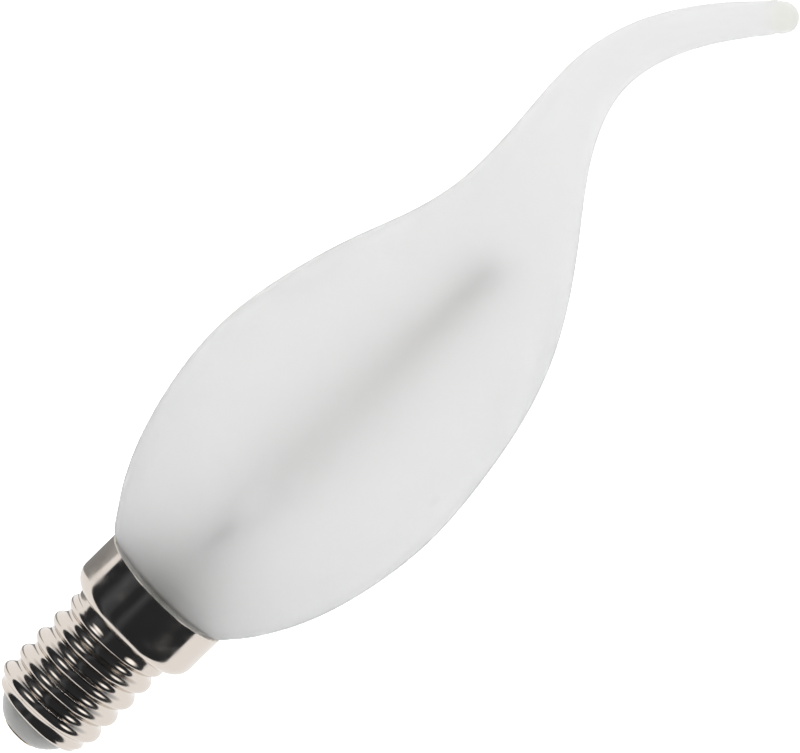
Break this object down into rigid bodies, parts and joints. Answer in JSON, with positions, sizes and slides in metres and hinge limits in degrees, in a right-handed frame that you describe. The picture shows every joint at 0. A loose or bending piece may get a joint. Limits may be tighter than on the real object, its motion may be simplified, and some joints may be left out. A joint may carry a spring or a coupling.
{
  "type": "candle light bulb",
  "caption": "Matt glass candle light bulb with a bent flame tip, light filaments inside and a small nickel-plated screw cap with a skirt.",
  "frame": {"origin": "middle of the centre contact's bottom face, on the cap's axis", "axes": "+Z along the cap's axis from the contact to the glass tip; the drawn-out neck leans to -X and its tip curls back to +X; the two filaments stand one before the other in the YZ plane"},
  "size_m": [0.035, 0.035, 0.1253],
  "materials": {
    "nickel_plate": "bright nickel plate on drawn brass sheet",
    "insulator_plastic": "matt light grey",
    "contact_metal": "plain",
    "cement": "dull",
    "matt_glass": "etched matt",
    "clear_glass": "clear",
    "nickel_wire": "drawn wire",
    "filament_coat": "soft coat with phosphor",
    "board_laminate": "satin white mask",
    "chip_moulding": "matt moulded",
    "chip_ceramic": "glazed top",
    "capacitor_sleeve": "shrunk sleeve",
    "resistor_lacquer": "dull lacquer",
    "tinned_wire": "tinned"
  },
  "bodies": {
    "root": {"cap_shell": "nickel_plate", "cap_insulator": "insulator_plastic", "centre_contact": "contact_metal", "basing_cement": "cement", "glass_envelope": "matt_glass", "glass_stem": "clear_glass", "exhaust_tube": "clear_glass", "lead_wire_front": "nickel_wire", "lead_wire_rear": "nickel_wire", "support_post": "nickel_wire", "filament_bridge": "nickel_wire", "filament_front": "filament_coat", "filament_rear": "filament_coat", "foot_tab_front": "nickel_wire", "foot_tab_rear": "nickel_wire", "head_tab_front": "nickel_wire", "head_tab_rear": "nickel_wire", "driver_board": "board_laminate", "bridge_rectifier": "chip_moulding", "driver_chip": "chip_moulding", "shunt_resistor": "chip_ceramic", "smoothing_capacitor": "capacitor_sleeve", "fusible_resistor": "resistor_lacquer", "resistor_lead": "tinned_wire", "live_wire": "tinned_wire", "neutral_wire": "tinned_wire"}
  },
  "joints": []
}
